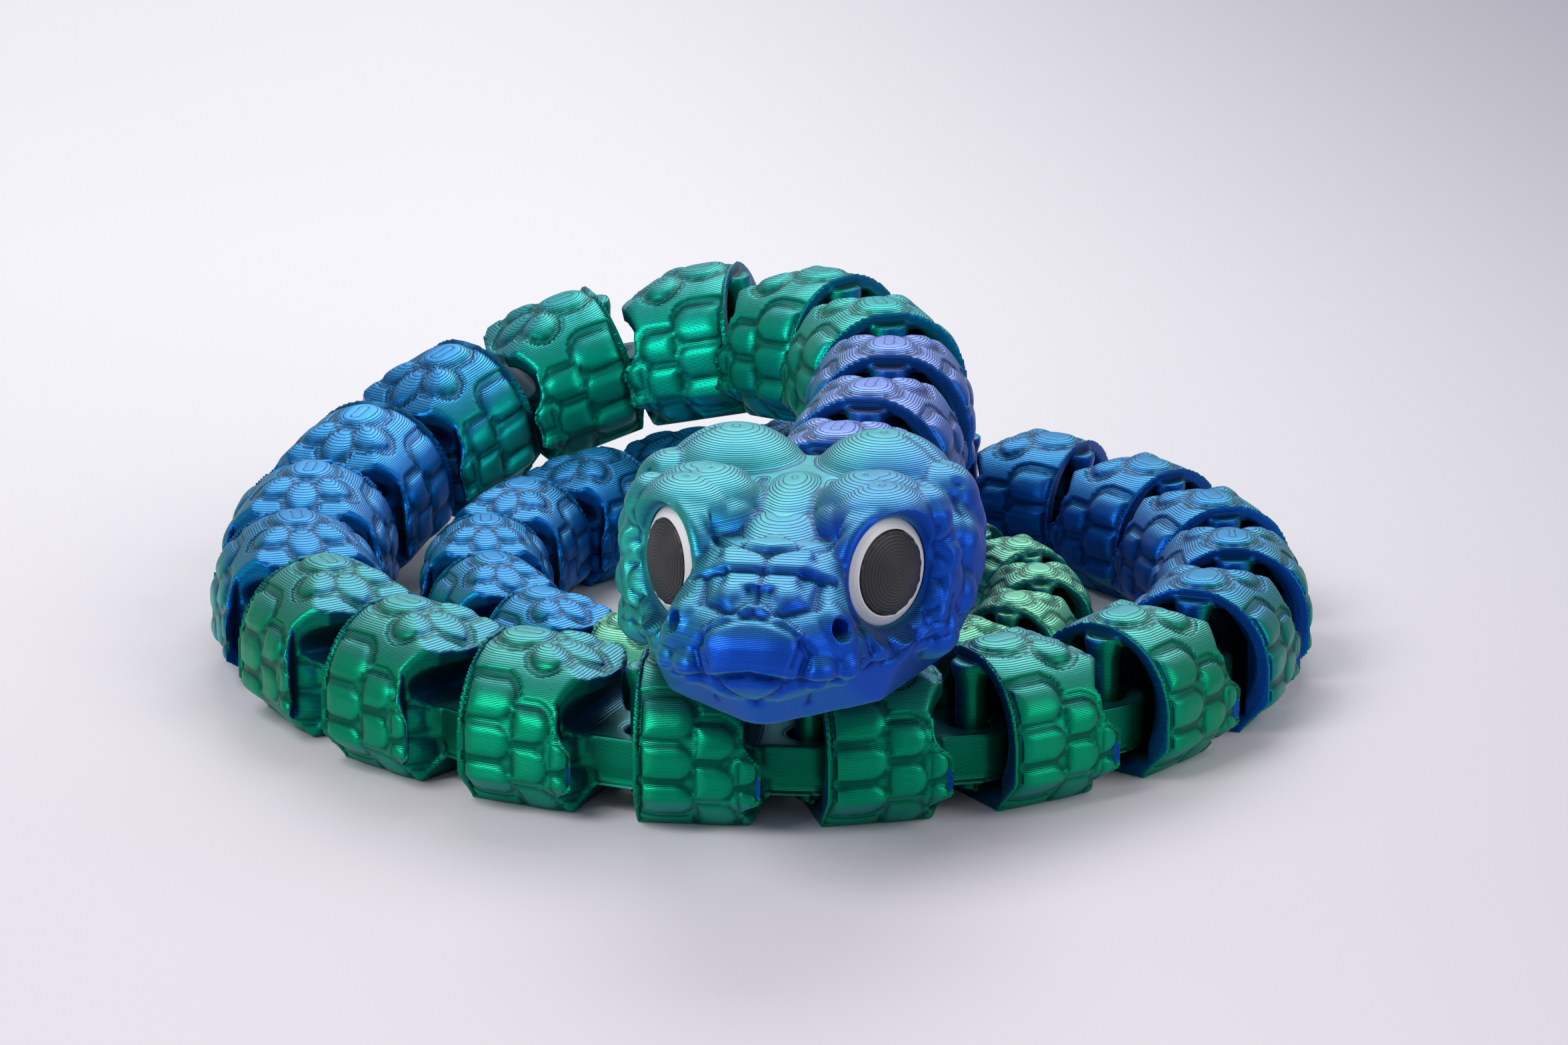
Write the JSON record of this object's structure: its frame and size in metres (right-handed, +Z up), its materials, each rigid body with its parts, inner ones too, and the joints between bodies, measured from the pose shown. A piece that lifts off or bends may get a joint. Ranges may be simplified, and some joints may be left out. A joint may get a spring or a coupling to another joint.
{
  "type": "articulated snake toy",
  "caption": "Coiled snake toy printed in place from scaled links that hinge on upright posts, with a domed head, set-in eyes and a pointed tail tip.",
  "frame": {"origin": "on the floor under the post of the root link, at the front of the outer turn", "axes": "+X along the root link towards the tail, +Y from the front of the coil to its back, +Z up along the link posts"},
  "size_m": [0.1536, 0.1743, 0.049],
  "materials": {
    "silk_head": "silk two-colour filament, blue with mint and lilac sheen",
    "silk_green": "silk two-colour filament, mostly green",
    "silk_blue": "silk two-colour filament, mostly blue",
    "silk_teal": "silk two-colour filament, green and blue",
    "silk_mint": "silk two-colour filament, pale green",
    "silk_lilac": "silk two-colour filament, blue and lilac",
    "silk_pale": "silk two-colour filament, pale cyan",
    "eye_white": "plain white filament",
    "pupil_dark": "plain charcoal filament with fine printed rings"
  },
  "bodies": {
    "head_body": {"head": "silk_head", "eye_left": "eye_white", "eye_right": "eye_white", "pupil_left": "pupil_dark", "pupil_right": "pupil_dark"},
    "link_01_body": {"link_01": "silk_lilac"},
    "link_02_body": {"link_02": "silk_lilac"},
    "link_03_body": {"link_03": "silk_lilac"},
    "link_04_body": {"link_04": "silk_green"},
    "link_05_body": {"link_05": "silk_green"},
    "link_06_body": {"link_06": "silk_green"},
    "link_07_body": {"link_07": "silk_green"},
    "link_08_body": {"link_08": "silk_blue"},
    "link_09_body": {"link_09": "silk_blue"},
    "link_10_body": {"link_10": "silk_blue"},
    "link_11_body": {"link_11": "silk_blue"},
    "link_12_body": {"link_12": "silk_green"},
    "link_13_body": {"link_13": "silk_green"},
    "link_14_body": {"link_14": "silk_green"},
    "link_15_body": {"link_15": "silk_green"},
    "link_16_body": {"link_16": "silk_green"},
    "link_17_body": {"link_17": "silk_green"},
    "link_18_body": {"link_18": "silk_green"},
    "link_19_body": {"link_19": "silk_teal"},
    "link_20_body": {"link_20": "silk_teal"},
    "link_21_body": {"link_21": "silk_teal"},
    "link_22_body": {"link_22": "silk_teal"},
    "link_23_body": {"link_23": "silk_teal"},
    "link_24_body": {"link_24": "silk_teal"},
    "link_25_body": {"link_25": "silk_blue"},
    "link_26_body": {"link_26": "silk_blue"},
    "link_27_body": {"link_27": "silk_blue"},
    "link_28_body": {"link_28": "silk_blue"},
    "link_29_body": {"link_29": "silk_blue"},
    "link_30_body": {"link_30": "silk_blue"},
    "link_31_body": {"link_31": "silk_blue"},
    "link_32_body": {"link_32": "silk_mint"},
    "link_33_body": {"link_33": "silk_mint"},
    "link_34_body": {"link_34": "silk_mint"},
    "link_35_body": {"link_35": "silk_mint"},
    "link_36_body": {"link_36": "silk_mint"},
    "link_37_body": {"link_37": "silk_mint"},
    "link_38_body": {"link_38": "silk_mint"},
    "link_39_body": {"link_39": "silk_mint"},
    "link_40_body": {"link_40": "silk_mint"},
    "link_41_body": {"link_41": "silk_mint"},
    "link_42_body": {"link_42": "silk_mint"},
    "tail_body": {"tail_tip": "silk_pale"}
  },
  "joints": [
    {"name": "head_turn", "type": "hinge", "parent": "link_01_body", "child": "head_body", "pos_m": [0.02156, 0.0238, 0.02901], "axis": [0, 0, 1], "range_deg": [-38, 31]},
    {"name": "neck_turn", "type": "hinge", "parent": "link_02_body", "child": "link_01_body", "pos_m": [0.02453, 0.04489, 0.02901], "axis": [0, 0, 1], "range_deg": [-31, 39]},
    {"name": "bend_03", "type": "hinge", "parent": "link_03_body", "child": "link_02_body", "pos_m": [0.02592, 0.06614, 0.02901], "axis": [0, 0, 1], "range_deg": [-28, 45]},
    {"name": "bend_04", "type": "hinge", "parent": "link_04_body", "child": "link_03_body", "pos_m": [0.02416, 0.08737, 0.02901], "axis": [-0.0059, 0.0154, 0.9999], "range_deg": [-21, 52]},
    {"name": "bend_05", "type": "hinge", "parent": "link_05_body", "child": "link_04_body", "pos_m": [0.01659, 0.10728, 0.02866], "axis": [-0.0773, 0.0683, 0.9947], "range_deg": [-8, 63]},
    {"name": "bend_06", "type": "hinge", "parent": "link_06_body", "child": "link_05_body", "pos_m": [0.00072, 0.12131, 0.02646], "axis": [-0.2084, 0.0287, 0.9776], "range_deg": [-1, 69]},
    {"name": "bend_07", "type": "hinge", "parent": "link_07_body", "child": "link_06_body", "pos_m": [-0.0199, 0.12416, 0.02198], "axis": [-0.242, -0.117, 0.9632], "range_deg": [-2, 65]},
    {"name": "bend_08", "type": "hinge", "parent": "link_08_body", "child": "link_07_body", "pos_m": [-0.03837, 0.11522, 0.01626], "axis": [-0.1443, -0.1951, 0.9701], "range_deg": [-10, 56]},
    {"name": "bend_09", "type": "hinge", "parent": "link_09_body", "child": "link_08_body", "pos_m": [-0.05066, 0.09861, 0.01109], "axis": [-0.0412, -0.1419, 0.989], "range_deg": [-14, 48]},
    {"name": "bend_10", "type": "hinge", "parent": "link_10_body", "child": "link_09_body", "pos_m": [-0.05653, 0.07838, 0.00794], "axis": [0.0006, -0.0442, 0.999], "range_deg": [-15, 47]},
    {"name": "bend_11", "type": "hinge", "parent": "link_11_body", "child": "link_10_body", "pos_m": [-0.05622, 0.0571, 0.007], "axis": [0, 0, 1], "range_deg": [-19, 52]},
    {"name": "bend_12", "type": "hinge", "parent": "link_12_body", "child": "link_11_body", "pos_m": [-0.04964, 0.03684, 0.007], "axis": [0, 0, 1], "range_deg": [-20, 53]},
    {"name": "bend_13", "type": "hinge", "parent": "link_13_body", "child": "link_12_body", "pos_m": [-0.03727, 0.0195, 0.007], "axis": [0, 0, 1], "range_deg": [-19, 54]},
    {"name": "bend_14", "type": "hinge", "parent": "link_14_body", "child": "link_13_body", "pos_m": [-0.0202, 0.00677, 0.007], "axis": [0, 0, 1], "range_deg": [-19, 54]},
    {"name": "bend_15", "type": "hinge", "parent": "link_15_body", "child": "link_14_body", "pos_m": [0, 0, 0.007], "axis": [0, 0, 1], "range_deg": [-18, 55]},
    {"name": "uncoil", "type": "hinge", "parent": "link_15_body", "child": "link_16_body", "pos_m": [0.0213, 0, 0.007], "axis": [0, 0, -1], "range_deg": [0, 18.93]},
    {"name": "bend_17", "type": "hinge", "parent": "link_16_body", "child": "link_17_body", "pos_m": [0.04145, 0.00691, 0.00688], "axis": [0, 0, -1], "range_deg": [-18, 55]},
    {"name": "bend_18", "type": "hinge", "parent": "link_17_body", "child": "link_18_body", "pos_m": [0.05796, 0.0198, 0.00677], "axis": [0, 0, -1], "range_deg": [-18, 55]},
    {"name": "bend_19", "type": "hinge", "parent": "link_18_body", "child": "link_19_body", "pos_m": [0.06915, 0.03709, 0.00665], "axis": [0, 0, -1], "range_deg": [-18, 55]},
    {"name": "bend_20", "type": "hinge", "parent": "link_19_body", "child": "link_20_body", "pos_m": [0.07393, 0.05676, 0.00654], "axis": [0, 0, -1], "range_deg": [-18, 55]},
    {"name": "bend_21", "type": "hinge", "parent": "link_20_body", "child": "link_21_body", "pos_m": [0.07195, 0.07655, 0.00642], "axis": [0, 0, -1], "range_deg": [-18, 56]},
    {"name": "bend_22", "type": "hinge", "parent": "link_21_body", "child": "link_22_body", "pos_m": [0.06362, 0.09423, 0.0063], "axis": [0, 0, -1], "range_deg": [-17, 56]},
    {"name": "bend_23", "type": "hinge", "parent": "link_22_body", "child": "link_23_body", "pos_m": [0.05009, 0.10783, 0.00619], "axis": [0, 0, -1], "range_deg": [-17, 56]},
    {"name": "bend_24", "type": "hinge", "parent": "link_23_body", "child": "link_24_body", "pos_m": [0.03307, 0.11589, 0.00607], "axis": [0, 0, -1], "range_deg": [-17, 56]},
    {"name": "bend_25", "type": "hinge", "parent": "link_24_body", "child": "link_25_body", "pos_m": [0.01467, 0.11763, 0.00596], "axis": [0, 0, -1], "range_deg": [-17, 56]},
    {"name": "bend_26", "type": "hinge", "parent": "link_25_body", "child": "link_26_body", "pos_m": [-0.00286, 0.11302, 0.00584], "axis": [0, 0, -1], "range_deg": [-17, 56]},
    {"name": "bend_27", "type": "hinge", "parent": "link_26_body", "child": "link_27_body", "pos_m": [-0.01741, 0.1028, 0.00573], "axis": [0, 0, -1], "range_deg": [-17, 57]},
    {"name": "bend_28", "type": "hinge", "parent": "link_27_body", "child": "link_28_body", "pos_m": [-0.02726, 0.08842, 0.00561], "axis": [0, 0, -1], "range_deg": [-16, 57]},
    {"name": "bend_29", "type": "hinge", "parent": "link_28_body", "child": "link_29_body", "pos_m": [-0.03127, 0.07183, 0.00549], "axis": [0, 0, -1], "range_deg": [-16, 57]},
    {"name": "bend_30", "type": "hinge", "parent": "link_29_body", "child": "link_30_body", "pos_m": [-0.02912, 0.05525, 0.00538], "axis": [0, 0, -1], "range_deg": [-16, 57]},
    {"name": "bend_31", "type": "hinge", "parent": "link_30_body", "child": "link_31_body", "pos_m": [-0.02125, 0.04089, 0.00526], "axis": [0, 0, -1], "range_deg": [-16, 58]},
    {"name": "bend_32", "type": "hinge", "parent": "link_31_body", "child": "link_32_body", "pos_m": [-0.00892, 0.03067, 0.00515], "axis": [0, 0, -1], "range_deg": [-15, 58]},
    {"name": "bend_33", "type": "hinge", "parent": "link_32_body", "child": "link_33_body", "pos_m": [0.006, 0.02592, 0.00503], "axis": [0, 0, -1], "range_deg": [-15, 59]},
    {"name": "bend_34", "type": "hinge", "parent": "link_33_body", "child": "link_34_body", "pos_m": [0.02126, 0.02717, 0.00492], "axis": [0, 0, -1], "range_deg": [-14, 59]},
    {"name": "bend_35", "type": "hinge", "parent": "link_34_body", "child": "link_35_body", "pos_m": [0.03453, 0.03408, 0.0048], "axis": [0, 0, -1], "range_deg": [-14, 59]},
    {"name": "bend_36", "type": "hinge", "parent": "link_35_body", "child": "link_36_body", "pos_m": [0.04376, 0.04541, 0.00468], "axis": [0, 0, -1], "range_deg": [-13, 60]},
    {"name": "bend_37", "type": "hinge", "parent": "link_36_body", "child": "link_37_body", "pos_m": [0.0475, 0.05916, 0.00457], "axis": [0, 0, -1], "range_deg": [-13, 61]},
    {"name": "bend_38", "type": "hinge", "parent": "link_37_body", "child": "link_38_body", "pos_m": [0.04524, 0.07288, 0.00445], "axis": [0, 0, -1], "range_deg": [-12, 62]},
    {"name": "bend_39", "type": "hinge", "parent": "link_38_body", "child": "link_39_body", "pos_m": [0.03752, 0.08401, 0.00434], "axis": [0, 0, -1], "range_deg": [-11, 63]},
    {"name": "bend_40", "type": "hinge", "parent": "link_39_body", "child": "link_40_body", "pos_m": [0.02596, 0.09039, 0.00422], "axis": [0, 0, -1], "range_deg": [-10, 64]},
    {"name": "bend_41", "type": "hinge", "parent": "link_40_body", "child": "link_41_body", "pos_m": [0.01312, 0.09069, 0.00411], "axis": [0, 0, -1], "range_deg": [-8, 65]},
    {"name": "bend_42", "type": "hinge", "parent": "link_41_body", "child": "link_42_body", "pos_m": [0.00205, 0.0849, 0.00399], "axis": [0, 0, -1], "range_deg": [-6, 67]},
    {"name": "tail_curl", "type": "hinge", "parent": "link_42_body", "child": "tail_body", "pos_m": [-0.00429, 0.07455, 0.00387], "axis": [0, 0, -1], "range_deg": [-4, 66]}
  ],
  "couplings": [
    {"joint": "bend_03", "follows": "uncoil", "ratio": 0.44932},
    {"joint": "bend_04", "follows": "uncoil", "ratio": 0.84799},
    {"joint": "bend_05", "follows": "uncoil", "ratio": 1.4637},
    {"joint": "bend_06", "follows": "uncoil", "ratio": 1.7772},
    {"joint": "bend_07", "follows": "uncoil", "ratio": 1.7772},
    {"joint": "bend_08", "follows": "uncoil", "ratio": 1.4637},
    {"joint": "bend_09", "follows": "uncoil", "ratio": 1.0727},
    {"joint": "bend_10", "follows": "uncoil", "ratio": 0.89863},
    {"joint": "bend_11", "follows": "uncoil", "ratio": 0.90692},
    {"joint": "bend_12", "follows": "uncoil", "ratio": 0.92347},
    {"joint": "bend_13", "follows": "uncoil", "ratio": 0.94095},
    {"joint": "bend_14", "follows": "uncoil", "ratio": 0.95946},
    {"joint": "bend_15", "follows": "uncoil", "ratio": 0.9791},
    {"joint": "bend_17", "follows": "uncoil", "ratio": 1.0052},
    {"joint": "bend_18", "follows": "uncoil", "ratio": 1.0108},
    {"joint": "bend_19", "follows": "uncoil", "ratio": 1.0168},
    {"joint": "bend_20", "follows": "uncoil", "ratio": 1.0232},
    {"joint": "bend_21", "follows": "uncoil", "ratio": 1.0301},
    {"joint": "bend_22", "follows": "uncoil", "ratio": 1.0375},
    {"joint": "bend_23", "follows": "uncoil", "ratio": 1.0455},
    {"joint": "bend_24", "follows": "uncoil", "ratio": 1.0541},
    {"joint": "bend_25", "follows": "uncoil", "ratio": 1.0635},
    {"joint": "bend_26", "follows": "uncoil", "ratio": 1.0738},
    {"joint": "bend_27", "follows": "uncoil", "ratio": 1.085},
    {"joint": "bend_28", "follows": "uncoil", "ratio": 1.0973},
    {"joint": "bend_29", "follows": "uncoil", "ratio": 1.1108},
    {"joint": "bend_30", "follows": "uncoil", "ratio": 1.1257},
    {"joint": "bend_31", "follows": "uncoil", "ratio": 1.1423},
    {"joint": "bend_32", "follows": "uncoil", "ratio": 1.1609},
    {"joint": "bend_33", "follows": "uncoil", "ratio": 1.1817},
    {"joint": "bend_34", "follows": "uncoil", "ratio": 1.2053},
    {"joint": "bend_35", "follows": "uncoil", "ratio": 1.2322},
    {"joint": "bend_36", "follows": "uncoil", "ratio": 1.2632},
    {"joint": "bend_37", "follows": "uncoil", "ratio": 1.2992},
    {"joint": "bend_38", "follows": "uncoil", "ratio": 1.3417},
    {"joint": "bend_39", "follows": "uncoil", "ratio": 1.3924},
    {"joint": "bend_40", "follows": "uncoil", "ratio": 1.4542},
    {"joint": "bend_41", "follows": "uncoil", "ratio": 1.5312},
    {"joint": "bend_42", "follows": "uncoil", "ratio": 1.6301}
  ]
}
